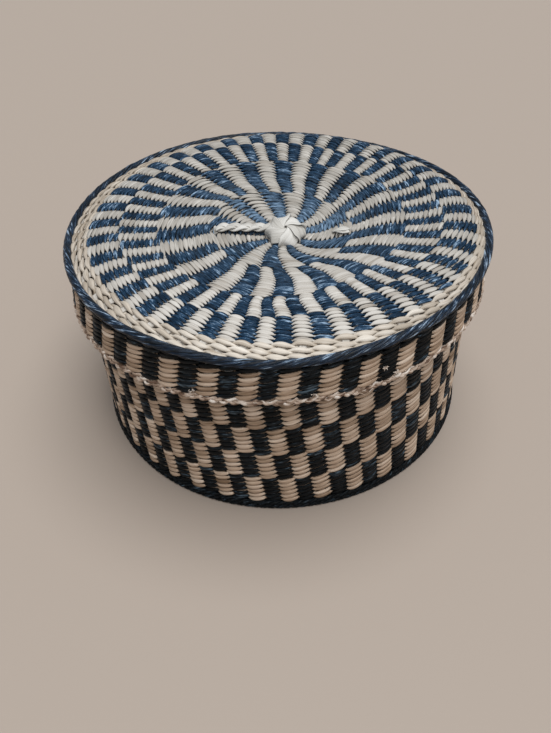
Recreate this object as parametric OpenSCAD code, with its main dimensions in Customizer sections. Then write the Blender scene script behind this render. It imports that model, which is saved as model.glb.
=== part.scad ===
// A round lidded basket, twined in natural and dark straw over a framework of stakes.
// Each course is a pair of strands: one passes outside a stake while the other passes inside,
// and they change places in the gap between two stakes, which makes the checker blocks.
// The lid is a shallow dish with a deep skirt that slides down over the basket's rim.

/* [Weave] */
// Thickness of one flattened strand
strand_t = 0.8; // [0.5:0.05:1.1]
// Thickness of one stake
stake_t = 0.8; // [0.5:0.05:1.1]
// Share of the stake spacing that a strand covers before it crosses
cover = 0.8; // [0.7:0.01:0.9]
// Width of one stake
stake_w = 1.7; // [1:0.05:1.7]
// Length of a stake's end that is held in the start of the weave
stake_in = 1.4; // [0.8:0.1:1.5]
// Play between a strand and a stake
play = 0.05; // [0.03:0.01:0.1]
// Play between two strands where they cross, and between two bands
strand_gap = 0.2; // [0.1:0.05:0.5]
// Width of the strap by which a strand of the lid crosses from one side to the other
cross_w = 1.6; // [1:0.1:1.8]

/* [Basket] */
// Radius of the wall at the middle of its weave
wall_r = 69.3; // [58:0.1:90]
// Number of stakes in the wall
wall_count = 76; // [64:4:96]
// Height of one checker band of the wall
band_h = 12.05; // [8:0.05:16]
// Height of the dark foot
foot_h = 3.6; // [3.2:0.1:6]
// How far the foot stands out past the wall
foot_out = 1.3; // [0.4:0.1:2.5]
// Width of the foot, from its outside to the base weave
foot_w = 4.6; // [4.4:0.1:8]
// Height of the base weave above the table
base_lift = 0.8; // [0.3:0.1:1]
// Radius of the start of the base
base_start_r = 12; // [8:0.5:18]
// Radius where the number of stakes in the base doubles
base_split_r = 36; // [28:0.5:44]
// Height of the dark courses under the rim
rim_courses_h = 3.35; // [2:0.05:6]
// Height of the plaited rim border
rim_border_h = 3.2; // [2:0.1:5]
// Bevel on the edges of the plaited borders
border_bevel = 0.6; // [0.2:0.05:0.9]

/* [Lid top] */
// Number of stakes at the lid's edge
lid_count = 72; // [56:8:88]
// Height of the lid's shoulder above the rim
shoulder_h = 4.85; // [4.4:0.05:8]
// Distance of the shoulder from the middle of the skirt
shoulder_in = 11.8; // [9:0.1:16]
// Depth of the dish below the shoulder
dish_d = 7.75; // [3:0.05:10]
// Drop of the lid from its shoulder to its plain border
border_drop = 1.05; // [0.4:0.05:1.5]
// Drop of the lid from its shoulder to its edge
edge_drop = 3; // [2:0.05:3.2]
// Width of the plain border inside the corded edge
border_w = 4.4; // [3:0.1:7]
// Width of the outermost checker ring
ring_4_w = 10.6; // [8:0.1:13]
// Width of the third checker ring
ring_3_w = 12.2; // [9:0.1:15]
// Width of the second checker ring
ring_2_w = 19.8; // [14:0.1:22]
// Radius of the start at the lid's centre
lid_start_r = 6.5; // [5:0.1:9]

/* [Lid skirt] */
// Gap between the skirt and the wall
lid_clear = 0.5; // [0.3:0.05:1]
// Radius of the cord round the lid's edge
rope_r = 1.5; // [1.3:0.05:2]
// How far the middle of the cord stands out past the skirt
rope_out = 0.2; // [0:0.05:0.6]
// Height of the middle of the cord above the rim
rope_lift = 1.2; // [0.9:0.05:1.5]
// Height of the dark courses at the top of the skirt
skirt_courses_h = 3.3; // [2:0.05:5]
// Height of the skirt's checker band
skirt_band_h = 10.6; // [7:0.05:16]
// Height of the plaited border at the bottom of the skirt
skirt_border_h = 2.6; // [2:0.05:4]

/* [Handle] */
// Radius of the knot
knot_r = 6.5; // [5:0.1:8]
// Width of the strips that wrap the knot
strip_w = 4.2; // [3:0.1:5]
// Thickness of the strips that wrap the knot
strip_t = 0.7; // [0.4:0.05:1.2]
// Radius of one ply of the braided cord
ply_r = 0.85; // [0.6:0.05:1]
// Spacing of the plies across the cord
ply_pitch = 1.45; // [1.1:0.05:1.5]
// Height of the middle of the cord above the knot's seat
cord_rise = 3.6; // [3.4:0.1:4.4]
// Radius of the cord's bend into the lid
cord_bend = 2; // [1.5:0.1:3]
// Distance of the cord's holes from the outer edge of the first checker ring
hole_in = 2.85; // [2.4:0.05:4]
// Play of the cord in its holes
cord_clear = 0.4; // [0.3:0.05:0.6]
// How far the knot can be drawn up before the stop meets the lid
pull = 5; // [2:0.1:8]
// Radius of the stop knots under the lid
stop_r = 2.6; // [2.4:0.1:3.5]
// How far the top of a stop knot is flattened against the end of the cord
stop_dip = 0.6; // [0.3:0.05:1]
// Play between a stop knot and the lid when it is drawn up
stop_clear = 0.3; // [0.2:0.05:0.6]
// Radius of the bend in the cord's loose end
tail_bend = 1.6; // [1.2:0.1:2.5]
// Length of the cord's loose end
tail_len = 2.2; // [1:0.1:5]

/* [Hidden] */
$fn = 96;

// Straw colours
natural = [0.80, 0.70, 0.56];
navy = [0.09, 0.13, 0.22];
cream = [0.84, 0.80, 0.72];

// Overlap that lets a cut pass cleanly through a face
eps = 0.01;
// Whole thickness of the weave, the faces of a stake's room, and the middle of a strand
weave_t = 2 * (strand_t + play) + stake_t;
room = stake_t / 2 + play;
strand_mid = room + strand_t / 2;

// Basket heights and radii
wall_out = wall_r + weave_t / 2;
wall_in = wall_r - weave_t / 2;
base_z = base_lift + weave_t / 2;
foot_out_r = wall_out + foot_out;
foot_in_r = foot_out_r - foot_w;
rim_courses_z = foot_h + 5 * band_h;
rim_border_z = rim_courses_z + rim_courses_h;
rim_z = rim_border_z + rim_border_h;

// Lid heights and radii
skirt_in = wall_out + lid_clear;
skirt_r = skirt_in + weave_t / 2;
skirt_out = skirt_r + weave_t / 2;
shoulder_r = skirt_r - shoulder_in;
shoulder_z = rim_z + shoulder_h - weave_t / 2;
border_out_r = skirt_r - room;
ring_4_r = border_out_r - border_w;
ring_3_r = ring_4_r - ring_4_w;
ring_2_r = ring_3_r - ring_3_w;
ring_1_r = ring_2_r - ring_2_w;
hole_pos = ring_1_r - hole_in;
rope_z = rim_z + rope_lift;
rope_mid_r = skirt_out + rope_out;
skirt_courses_z = rope_z - rope_r - skirt_courses_h;
skirt_band_z = skirt_courses_z - skirt_band_h;
skirt_border_z = skirt_band_z - skirt_border_h;

// Height of the middle of the lid's weave at a radius: a cone up to the shoulder, then a rounded drop
function lid_z(r) = lookup(r, [
  [0, shoulder_z - dish_d],
  [shoulder_r, shoulder_z],
  [ring_4_r, shoulder_z - border_drop],
  [skirt_r, shoulder_z - edge_drop]
]);

// Handle heights and places
knot_seat = lid_z(lid_start_r) + weave_t / 2;
cord_z = knot_seat + cord_rise;
cord_w = 2 * (ply_pitch + ply_r);
lid_under_z = lid_z(hole_pos) - weave_t / 2;
stop_top = lid_under_z - stop_clear - pull;

// Directions of the two holes: each lies in a gap next to a stake of the first ring
tail_turn = -720 / lid_count;
braid_turn = 180 - tail_turn;

// Corners of one side of a wavy ring: over every other stake and under the rest
function wave(n, r, first, side) = [
  for (i = [0 : n - 1], e = [-1, 1])
    let (half = cover * 180 / n)
    let (out = (i + first) % 2 == 0 ? strand_mid : -strand_mid)
    let (rr = (r + out + side * strand_t / 2) / cos(half))
    let (a = i * 360 / n + e * half)
    [rr * cos(a), rr * sin(a)]
];

// Outline of one strand round the wall
module strand_2d(n, r, first) {
  difference() {
    polygon(wave(n, r, first, 1));
    polygon(wave(n, r, first, -1));
  }
}

// The gaps between the stakes, where two strands cross
module gaps_2d(n, r) {
  half = cover * 180 / n;
  step = 360 / n;
  for (i = [0 : n - 1])
    polygon([
      for (p = [[-1, half], [1, half], [1, step - half], [-1, step - half]])
        (r + p[0] * weave_t) * [cos(i * step + p[1]), sin(i * step + p[1])]
    ]);
}

// One band of one colour: it crosses low or high in the gaps, so that the other can pass
module wall_strand(n, r, z, h, first, low) {
  plate_h = h - strand_gap;
  cut_h = h / 2 + eps;
  cut_z = low ? z + plate_h / 2 : z - eps;
  difference() {
    translate([0, 0, z])
      linear_extrude(plate_h)
        strand_2d(n, r, first);
    translate([0, 0, cut_z])
      linear_extrude(cut_h)
        gaps_2d(n, r);
  }
}

// One course-wide pair of plain rings, inside and outside a row of upright stakes
module plain_rings(r, z, h) {
  for (side = [-1, 1])
    rotate_extrude()
      translate([r + side * strand_mid - strand_t / 2, z])
        square([strand_t, h]);
}

// A pair of plain flat rings, above and below a row of flat stakes
module flat_rings(ra, rb, z) {
  for (side = [-1, 1])
    rotate_extrude()
      translate([ra, z + side * strand_mid - strand_t / 2])
        square([rb - ra, strand_t]);
}

// One stake, from its side view
module stake(turn, side_view) {
  rotate(turn)
    translate([0, stake_w / 2, 0])
      rotate([90, 0, 0])
        linear_extrude(stake_w)
          polygon(side_view);
}

// Section of a plaited border with bevelled edges
module border_2d(ra, rb, lo, hi) {
  b = border_bevel;
  polygon([
    [ra + b, lo], [rb - b, lo], [rb, lo + b], [rb, hi - b],
    [rb - b, hi], [ra + b, hi], [ra, hi - b], [ra, lo + b]
  ]);
}

// Section of a layer of the lid's weave, between two offsets from its middle
module layer_2d(ra, rb, lo, hi) {
  bends = [for (r = [shoulder_r, ring_4_r]) if (r > ra && r < rb) r];
  s = concat([ra], bends, [rb]);
  last = len(s) - 1;
  polygon(concat(
    [for (i = [0 : last]) [s[i], lid_z(s[i]) + lo]],
    [for (i = [0 : last]) [s[last - i], lid_z(s[last - i]) + hi]]
  ));
}

// A slanted strap that carries a strand through the gap from an upper plate to a lower one
module crossing(gap, down) {
  grip = (gap / 2 + 2 * strand_gap) * (down ? 1 : -1);
  q = strand_t / 4;
  rotate([90, 0, 90])
    linear_extrude(cross_w, center = true)
      polygon([
        [-grip, strand_mid - q], [grip, -strand_mid - q], [grip, -strand_mid + q], [-grip, strand_mid + q]
      ]);
}

// One strand of a lid ring: plates over every other stake, plates under the rest, joined in the gaps
module ring_strand(n, ra, rb, first, inner) {
  half = cover * 180 / n;
  step = 360 / n;
  cross_r = ra + (inner ? 0.5 * cross_w + strand_gap : 1.5 * cross_w + 2 * strand_gap);
  gap = 2 * cross_r * sin(step / 2 - half);
  for (i = [0 : n - 1]) {
    over = (i + first) % 2 == 0;
    lo = over ? room : -room - strand_t;
    rotate(i * step - half)
      rotate_extrude(angle = 2 * half)
        layer_2d(ra, rb, lo, lo + strand_t);
    rotate((i + 0.5) * step)
      translate([cross_r, 0, lid_z(cross_r)])
        crossing(gap, over);
  }
}

// Section of the flat cord: three plies side by side
module cord_2d() {
  for (i = [-1 : 1])
    translate([0, i * ply_pitch])
      circle(ply_r);
}

// A slot through the lid for the cord
module cord_slot(turn) {
  rotate(turn)
    translate([hole_pos - ply_r - cord_clear, -cord_w / 2 - cord_clear, stop_top])
      cube([2 * (ply_r + cord_clear), cord_w + 2 * cord_clear, shoulder_z - stop_top + weave_t]);
}

module cord_slots() {
  cord_slot(braid_turn);
  cord_slot(tail_turn);
}

// A round stop knot that hangs from a flat top
module stop_knot() {
  rotate_extrude()
    translate([0, stop_dip - stop_r])
      intersection() {
        circle(stop_r);
        translate([0, -stop_r])
          square([stop_r, 2 * stop_r - stop_dip]);
      }
}

// A knot of strips wrapped one over the other, flat where it sits on the lid
module knot_body() {
  translate([0, 0, knot_seat]) {
    intersection() {
      sphere(knot_r - strip_t);
      cylinder(h = knot_r, r = knot_r);
    }
    for (i = [0 : 2])
      rotate([90, 0, 30 + i * 60])
        rotate_extrude(angle = 180)
          translate([knot_r - 2 * strip_t, -strip_w / 2])
            square([strip_t * (2 - i / 3), strip_w]);
  }
}

// The braided cord from the knot, over the lid and down through it
module cord_run() {
  x_end = hole_pos - cord_bend;
  rotate(braid_turn) {
    translate([0, 0, cord_z])
      rotate([0, 90, 0])
        linear_extrude(x_end)
          cord_2d();
    translate([x_end, 0, cord_z - cord_bend])
      rotate([90, 0, 0])
        rotate_extrude(angle = 90)
          translate([cord_bend, 0])
            cord_2d();
    translate([hole_pos, 0, stop_top])
      linear_extrude(cord_z - cord_bend - stop_top)
        cord_2d();
  }
}

module base_start() {
  color(natural)
    rotate_extrude()
      polygon([
        [0, base_z - weave_t / 2], [base_start_r, base_z - weave_t / 2], [base_start_r, base_z - room],
        [base_start_r - stake_in - play, base_z - room], [base_start_r - stake_in - play, base_z + room],
        [base_start_r, base_z + room], [base_start_r, base_z + weave_t / 2], [0, base_z + weave_t / 2]
      ]);
}

module base_ring_1() {
  color(natural)
    flat_rings(base_start_r, base_split_r, base_z);
}

module base_ring_2() {
  color(natural)
    flat_rings(base_split_r, foot_in_r, base_z);
}

module basket_stakes() {
  in_r = wall_r - stake_t / 2;
  out_r = wall_r + stake_t / 2;
  low = base_z - stake_t / 2;
  high = base_z + stake_t / 2;
  color(natural)
    for (i = [0 : wall_count - 1]) {
      start_r = i % 2 == 0 ? base_start_r - stake_in : base_split_r;
      stake(i * 360 / wall_count, [
        [start_r, low], [out_r, low], [out_r, rim_border_z],
        [in_r, rim_border_z], [in_r, high], [start_r, high]
      ]);
    }
}

module foot_edge() {
  b = border_bevel;
  out_r = wall_r + room;
  in_r = wall_r - room;
  color(navy)
    rotate_extrude() {
      polygon([
        [foot_in_r, 0], [foot_out_r - b, 0], [foot_out_r, b], [foot_out_r, foot_h - b], [foot_out_r - b, foot_h],
        [out_r, foot_h], [out_r, base_z - room], [foot_in_r, base_z - room]
      ]);
      polygon([[foot_in_r, base_z + room], [in_r, base_z + room], [in_r, foot_h], [foot_in_r, foot_h]]);
    }
}

module wall_natural(band) {
  color(natural)
    wall_strand(wall_count, wall_r, foot_h + (band - 1) * band_h, band_h, band % 2, true);
}

module wall_dark(band) {
  color(navy)
    wall_strand(wall_count, wall_r, foot_h + (band - 1) * band_h, band_h, (band + 1) % 2, false);
}

module wall_band_1_natural() { wall_natural(1); }
module wall_band_1_dark() { wall_dark(1); }
module wall_band_2_natural() { wall_natural(2); }
module wall_band_2_dark() { wall_dark(2); }
module wall_band_3_natural() { wall_natural(3); }
module wall_band_3_dark() { wall_dark(3); }
module wall_band_4_natural() { wall_natural(4); }
module wall_band_4_dark() { wall_dark(4); }
module wall_band_5_natural() { wall_natural(5); }
module wall_band_5_dark() { wall_dark(5); }

module rim_courses() {
  color(navy)
    plain_rings(wall_r, rim_courses_z, rim_courses_h);
}

module rim_border() {
  color(natural)
    rotate_extrude()
      border_2d(wall_in, wall_out, rim_border_z, rim_z);
}

module lid_start() {
  in_r = lid_start_r - stake_in - play;
  color(natural)
    rotate_extrude()
      polygon([
        [0, knot_seat - weave_t - stake_t], [in_r, knot_seat - weave_t - stake_t],
        [lid_start_r, knot_seat - weave_t], [lid_start_r, lid_z(lid_start_r) - room],
        [in_r, lid_z(in_r) - room], [in_r, lid_z(in_r) + room],
        [lid_start_r, lid_z(lid_start_r) + room], [lid_start_r, knot_seat], [0, knot_seat]
      ]);
}

module lid_stakes() {
  t = stake_t / 2;
  in_r = skirt_r - t;
  out_r = skirt_r + t;
  color(natural)
    difference() {
      for (i = [0 : lid_count - 1]) {
        start_r = i % 4 == 0 ? lid_start_r - stake_in : (i % 4 == 2 ? ring_1_r : ring_2_r);
        stake(i * 360 / lid_count, [
          [start_r, lid_z(start_r) - t], [shoulder_r, lid_z(shoulder_r) - t], [ring_4_r, lid_z(ring_4_r) - t],
          [in_r, lid_z(in_r) - t], [in_r, skirt_band_z], [out_r, skirt_band_z],
          [out_r, lid_z(skirt_r) + t], [skirt_r, lid_z(skirt_r) + t],
          [ring_4_r, lid_z(ring_4_r) + t], [shoulder_r, lid_z(shoulder_r) + t], [start_r, lid_z(start_r) + t]
        ]);
      }
      cord_slots();
    }
}

module lid_ring(n, ra, rb, first, inner) {
  color(inner ? natural : navy)
    difference() {
      ring_strand(n, ra, rb, first, inner);
      cord_slots();
    }
}

module lid_ring_1_natural() { lid_ring(lid_count / 4, lid_start_r, ring_1_r, 0, true); }
module lid_ring_1_dark() { lid_ring(lid_count / 4, lid_start_r, ring_1_r, 1, false); }
module lid_ring_2_natural() { lid_ring(lid_count / 2, ring_1_r, ring_2_r, 0, true); }
module lid_ring_2_dark() { lid_ring(lid_count / 2, ring_1_r, ring_2_r, 1, false); }
module lid_ring_3_natural() { lid_ring(lid_count, ring_2_r, ring_3_r, 0, true); }
module lid_ring_3_dark() { lid_ring(lid_count, ring_2_r, ring_3_r, 1, false); }
module lid_ring_4_natural() { lid_ring(lid_count, ring_3_r, ring_4_r, 1, true); }
module lid_ring_4_dark() { lid_ring(lid_count, ring_3_r, ring_4_r, 0, false); }

module lid_border() {
  color(natural)
    rotate_extrude() {
      layer_2d(ring_4_r, border_out_r, room, weave_t / 2);
      polygon([
        [ring_4_r, rim_z], [border_out_r, rim_z],
        [border_out_r, lid_z(border_out_r) - room], [ring_4_r, lid_z(ring_4_r) - room]
      ]);
    }
}

module lid_edge_rope() {
  color(navy)
    difference() {
      rotate_extrude()
        translate([rope_mid_r, rope_z])
          circle(rope_r);
      translate([0, 0, rope_z - 2 * rope_r])
        cylinder(h = 4 * rope_r, r = skirt_r + room);
    }
}

module skirt_courses() {
  color(navy)
    plain_rings(skirt_r, skirt_courses_z, skirt_courses_h);
}

module skirt_band_natural() {
  color(natural)
    wall_strand(lid_count, skirt_r, skirt_band_z, skirt_band_h, 0, true);
}

module skirt_band_dark() {
  color(navy)
    wall_strand(lid_count, skirt_r, skirt_band_z, skirt_band_h, 1, false);
}

module skirt_border() {
  color(cream)
    rotate_extrude()
      border_2d(skirt_in, skirt_out, skirt_border_z, skirt_band_z);
}

module handle_knot() {
  color(cream)
    knot_body();
}

module handle_braid() {
  color(cream)
    difference() {
      cord_run();
      knot_body();
    }
}

module handle_stop() {
  color(cream)
    rotate(braid_turn)
      translate([hole_pos, 0, stop_top])
        stop_knot();
}

module handle_tail() {
  under = lid_under_z - stop_clear;
  top = lid_z(hole_pos) + weave_t / 2;
  color(cream)
    rotate(tail_turn) {
      translate([hole_pos, 0, under])
        stop_knot();
      translate([hole_pos, 0, under - stop_r])
        linear_extrude(top - under + stop_r)
          cord_2d();
      translate([hole_pos + tail_bend, 0, top])
        rotate([90, 0, 0])
          rotate([0, 0, 90])
            rotate_extrude(angle = 90)
              translate([tail_bend, 0])
                cord_2d();
      translate([hole_pos + tail_bend, 0, top + tail_bend])
        rotate([0, 90, 0])
          linear_extrude(tail_len)
            cord_2d();
    }
}

base_start();
base_ring_1();
base_ring_2();
basket_stakes();
foot_edge();
wall_band_1_natural();
wall_band_1_dark();
wall_band_2_natural();
wall_band_2_dark();
wall_band_3_natural();
wall_band_3_dark();
wall_band_4_natural();
wall_band_4_dark();
wall_band_5_natural();
wall_band_5_dark();
rim_courses();
rim_border();
lid_start();
lid_stakes();
lid_ring_1_natural();
lid_ring_1_dark();
lid_ring_2_natural();
lid_ring_2_dark();
lid_ring_3_natural();
lid_ring_3_dark();
lid_ring_4_natural();
lid_ring_4_dark();
lid_border();
lid_edge_rope();
skirt_courses();
skirt_band_natural();
skirt_band_dark();
skirt_border();
handle_knot();
handle_braid();
handle_stop();
handle_tail();
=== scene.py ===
import math

import bpy
import numpy as np
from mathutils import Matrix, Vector


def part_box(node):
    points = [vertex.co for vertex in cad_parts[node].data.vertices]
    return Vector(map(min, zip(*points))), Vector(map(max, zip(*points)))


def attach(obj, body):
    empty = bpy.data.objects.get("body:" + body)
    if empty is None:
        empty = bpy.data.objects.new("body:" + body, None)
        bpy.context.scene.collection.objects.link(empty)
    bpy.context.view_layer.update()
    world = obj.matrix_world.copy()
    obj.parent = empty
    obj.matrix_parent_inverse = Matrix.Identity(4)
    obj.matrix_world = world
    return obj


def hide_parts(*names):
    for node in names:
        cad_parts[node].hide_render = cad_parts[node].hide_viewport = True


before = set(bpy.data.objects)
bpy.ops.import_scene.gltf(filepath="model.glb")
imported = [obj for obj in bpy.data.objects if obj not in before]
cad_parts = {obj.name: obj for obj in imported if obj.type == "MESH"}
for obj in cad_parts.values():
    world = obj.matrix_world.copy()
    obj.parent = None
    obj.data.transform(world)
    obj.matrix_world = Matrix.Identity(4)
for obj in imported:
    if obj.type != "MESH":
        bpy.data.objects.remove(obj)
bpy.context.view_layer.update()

MM = 0.001
rng = np.random.default_rng(11)


# Sizes are in millimetres and angles in degrees, unless a comment says otherwise

def span(node):
    """Lowest and highest point of a CAD node, in millimetres."""
    lo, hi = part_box(node)
    return lo.z / MM, hi.z / MM


# Counts, with rings from the centre outwards
WALL_STAKES = 76
WALL_BANDS = 5
LID_STAKES = 72
LID_START_STAKES = 18
BASE_START_STAKES = 20
RING_STAKES = [18, 36, 72, 72]
RING_COURSES = [11, 12, 8, 7]
RING_FIRST = [0, 0, 0, 1]
BAND_COURSES = 6
EDGE_COURSES = 2
BORDER_COURSES = 3
START_COURSES = 3
BASE_COURSES = [5, 12, 16]

# Radii, heights and angles that aren't read from the solids
WALL_R = 69.3
SKIRT_R = 72.3
BASE_Z = 2.05
BASE_R = [1.6, 12.0, 36.0, 68.05]
LID_START_R = 1.2
RING_R = [6.5, 24.85, 44.65, 56.85, 67.45]
BORDER_R = [67.1, 72.5]
ROPE_R = 73.35
ROPE_Z = 71.9
EDGE_R = 73.6
HOLE_R = 22.0
HOLES = [183.5, 346.5]

# How far a band, and the skirt's dark courses, reach up past their solids
BAND_LAP = 0.2
SKIRT_LAP = 0.4

# Unevenness of the stakes' spacing
WALL_SWAY = 0.45
LID_SWAY = 0.35
BASE_START_SWAY = 0.4
LID_START_SWAY = 0.5


# Directions, soft steps and bumps

def unit(v):
    """A direction, or each of many, at length 1."""
    return v / np.linalg.norm(v, axis=-1, keepdims=True)


def smooth(t):
    """A smooth step from 0 to 1, between 0 and 1."""
    t = np.clip(t, 0, 1)
    return t * t * (3 - 2 * t)


def rise(value, ends):
    """A smooth step from 0 to 1 between two ends."""
    return smooth((value - ends[0]) / (ends[1] - ends[0]))


def near(distance, spread):
    """A soft bump: 1 at no distance, and falling away over the spread."""
    return np.exp(-(distance / spread) ** 2)


def turned_from(angle, at):
    """Turn from one angle to another, between -180 and 180 degrees."""
    return (angle - at + 180) % 360 - 180


def apart(a, at):
    """Turn from one angle to another, between -pi and pi radians."""
    return np.angle(np.exp(1j * (a - at)))


def bumps(places, angle, radius):
    """Sum of soft bumps at an angle and radius."""
    total = 0.0
    for at, spread, middle, depth, amount in places:
        total = total + amount * near(turned_from(angle, at), spread) * near(radius - middle, depth)
    return total


def waves(terms, a):
    """Sum of waves round the basket, each with its number of crests, its place in radians and its size."""
    return sum(size * np.sin(crests * a + at) for crests, at, size in terms)


def outwards(a):
    """Level direction away from the axis, at an angle in radians."""
    return np.stack([np.cos(a), np.sin(a), np.zeros_like(a)], -1)


# Strands and pieces

# Section of a flattened straw: a level top with narrow rounded edges
FLAT = np.array([(1, 0), (0.9, 0.72), (0.64, 1), (-0.64, 1), (-0.9, 0.72), (-1, 0), (-0.66, -1), (0.66, -1)])
# Range of the seeds that set where each strand's fibres start
SEEDS = 50


def strand(points, normals, half_w, half_t, closed=False, sides=8, tone=0.0, fade=0.0, box=0.8, section=None):
    """One strand, oval or with a given section: its mesh, and what its material reads at each vertex."""
    n = len(points)
    half_w = np.broadcast_to(half_w, n)
    half_t = np.broadcast_to(half_t, n)
    if closed:
        ahead = np.roll(points, -1, 0) - np.roll(points, 1, 0)
        step = np.linalg.norm(points - np.roll(points, 1, 0), axis=1)
    else:
        ahead = np.gradient(points, axis=0)
        step = np.r_[0, np.linalg.norm(np.diff(points, axis=0), axis=1)]
    ahead = unit(ahead)
    across = unit(np.cross(ahead, normals))
    out = np.cross(across, ahead)
    a = 2 * np.pi * np.arange(sides) / sides
    wide = np.sign(np.cos(a)) * np.abs(np.cos(a)) ** box
    high = np.sign(np.sin(a)) * np.abs(np.sin(a)) ** box
    if section is not None:
        sides, (wide, high) = len(section), section.T
    ring = half_w[:, None, None] * across[:, None] * wide[:, None]
    ring = ring + half_t[:, None, None] * out[:, None] * high[:, None]
    rows = n if closed else n - 1
    i = np.arange(rows)[:, None]
    j = np.arange(sides)[None]
    i_next, j_next = (i + 1) % n, (j + 1) % sides
    corners = [i * sides + j, i * sides + j_next, i_next * sides + j_next, i_next * sides + j]
    first_cap, last_cap = np.arange(sides)[::-1], (n - 1) * sides + np.arange(sides)
    fibre = [np.repeat(np.cumsum(step), sides), np.tile(wide, n) * np.repeat(half_w, sides),
             np.tile(high, n) * np.repeat(half_t, sides)]
    return {
        "co": (points[:, None] + ring).reshape(-1, 3),
        "quads": np.stack(corners, -1).reshape(-1, 4),
        "caps": [] if closed else [first_cap, last_cap],
        "fibre": np.stack(fibre, -1),
        "seed": np.full(n * sides, rng.uniform(0, SEEDS)),
        "tone": np.repeat(np.broadcast_to(tone, n), sides),
        # The mask of painted light at each vertex
        "fade": np.repeat(np.broadcast_to(fade, n), sides)}


def joined(strands, key):
    """One value of all strands, as a flat array for a mesh."""
    return np.concatenate([s[key] for s in strands]).astype(np.float32).ravel()


def piece(name, strands, material, body, slot, *nodes):
    """Joins strands into one mesh object that stands for its CAD nodes."""
    base, loops_of, sizes = 0, [], []
    for s in strands:
        loops_of.append((s["quads"] + base).ravel())
        sizes.append(np.full(len(s["quads"]), 4))
        for cap in s["caps"]:
            loops_of.append(cap + base)
            sizes.append([len(cap)])
        base += len(s["co"])
    loops_of, sizes = np.concatenate(loops_of), np.concatenate(sizes)
    mesh = bpy.data.meshes.new(name)
    mesh.vertices.add(base)
    points = np.concatenate([s["co"] for s in strands]) * MM
    mesh.vertices.foreach_set("co", points.astype(np.float32).ravel())
    mesh.loops.add(len(loops_of))
    mesh.loops.foreach_set("vertex_index", loops_of.astype(np.int32))
    mesh.polygons.add(len(sizes))
    mesh.polygons.foreach_set("loop_start", (np.cumsum(sizes) - sizes).astype(np.int32))
    mesh.update(calc_edges=True)
    mesh.polygons.foreach_set("use_smooth", np.ones(len(sizes), bool))
    mesh.attributes.new("fibre", "FLOAT_VECTOR", "POINT").data.foreach_set("vector", joined(strands, "fibre"))
    for key in ("seed", "tone", "fade"):
        mesh.attributes.new(key, "FLOAT", "POINT").data.foreach_set("value", joined(strands, key))
    mesh.materials.append(material)
    o = bpy.data.objects.new(name, mesh)
    bpy.context.scene.collection.objects.link(o)
    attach(o, body)
    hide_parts(*nodes)


# Hand-made surfaces: each maps weave coordinates to a point and the direction out of the weave

def stake_angles(count, sway):
    """Angle of each stake, in degrees, with the unevenness of spacing."""
    a = np.arange(count) * 360 / count
    uneven = rng.normal(0, sway, count)
    uneven = (uneven + np.roll(uneven, 1) + np.roll(uneven, -1)) / 2
    return a + uneven


def angle_at(s, stakes):
    """Angle at a place between stakes, where s counts stakes."""
    n = len(stakes)
    return np.interp(s, np.arange(n + 1), np.r_[stakes, stakes[0] + 360])


# How far the lid slants up to the right for each millimetre, and the height at which the wall slants as much
TILT = 0.033
TILT_Z = 70

# The wall's blocks are turned, more so away from the front, and lean by an amount in each band
FRONT = 270
WALL_TURN = 2.0
SIDE_TURN = 4.5
SIDE_TURN_AT = -2
SIDE_TURN_FROM = 40
WALL_LEAN = -1.1
WALL_LEAN_Z = 9
BAND_H = 12.05
# Its lower part is shifted to the right, bulges at the front left, and has three lobes. Places and spreads
# are in radians
LOW_TOP = 54
FOOT_SHIFT = 2.2
BULGE = 1.0
BULGE_AT = math.radians(-122)
BULGE_SPREAD = 0.65
LOBES = [(3, 0.8, 0.35)]
# Its courses ripple. The ripple's place is in radians, and moves by one radian in each RIPPLE_RISE of height
RIPPLE = 0.45
RIPPLE_AT = 0.6
RIPPLE_RISE = 22
RIPPLE_TOP = 62
# They stand higher at the sides than at the front, and sink at the foot
SWELL_TOP = 52
SIDE_SWELL = 1.4
SWELL_SPREAD = 11
FOOT_SINK = 0.7
FOOT_SINK_Z = 4


def on_wall(angle, radius, z):
    """The basket's wall: its blocks lean, its foot is off centre and it bulges at the front left."""
    from_front = turned_from(angle, FRONT)
    sides = 1 - np.exp(-((from_front - SIDE_TURN_AT) / SIDE_TURN_FROM) ** 4)
    lean = WALL_LEAN * (z - WALL_LEAN_Z) / BAND_H
    a = np.radians(angle + WALL_TURN + SIDE_TURN * sides + lean)
    low = np.clip(1 - z / LOW_TOP, 0, 1)
    r = radius + low * (BULGE * near(apart(a, BULGE_AT), BULGE_SPREAD) + waves(LOBES, a))
    x = r * np.cos(a) + FOOT_SHIFT * low
    ripple = RIPPLE * np.sin(2 * a + RIPPLE_AT + z / RIPPLE_RISE)
    ripple = ripple * np.sin(np.pi * np.clip(z / RIPPLE_TOP, 0, 1))
    swell = np.sin(np.pi * np.clip(z / SWELL_TOP, 0, 1)) * (SIDE_SWELL - near(from_front, SWELL_SPREAD))
    sink = FOOT_SINK * np.clip(z / FOOT_SINK_Z, 0, 1) * low
    p = np.stack([x, r * np.sin(a), z - sink + ripple + swell + TILT * x * z / TILT_Z], -1)
    return p, outwards(a)


# The skirt's blocks are turned, less so at the front right, and lean
SKIRT_TURN = 3.5
SKIRT_RIGHT = -2.2
SKIRT_RIGHT_AT = -62
SKIRT_RIGHT_SPREAD = 22
SKIRT_LEAN = 0.09
SKIRT_LEAN_Z = 62
# Its lower part flares, waves and lifts at the front right, with places and spreads in radians
SKIRT_LOW_Z = 68
SKIRT_LOW_H = 14
SKIRT_WAVES = [(3, 1.2, 0.35), (7, 0, 0.25), (1, math.pi / 2, 0.5)]
SKIRT_LIFT = 2.0
SKIRT_LIFT_AT = -0.9
SKIRT_LIFT_SPREAD = 0.6
FLARE = 1.4
FLARE_WAVES = [(5, 0.5, 0.12)]
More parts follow.
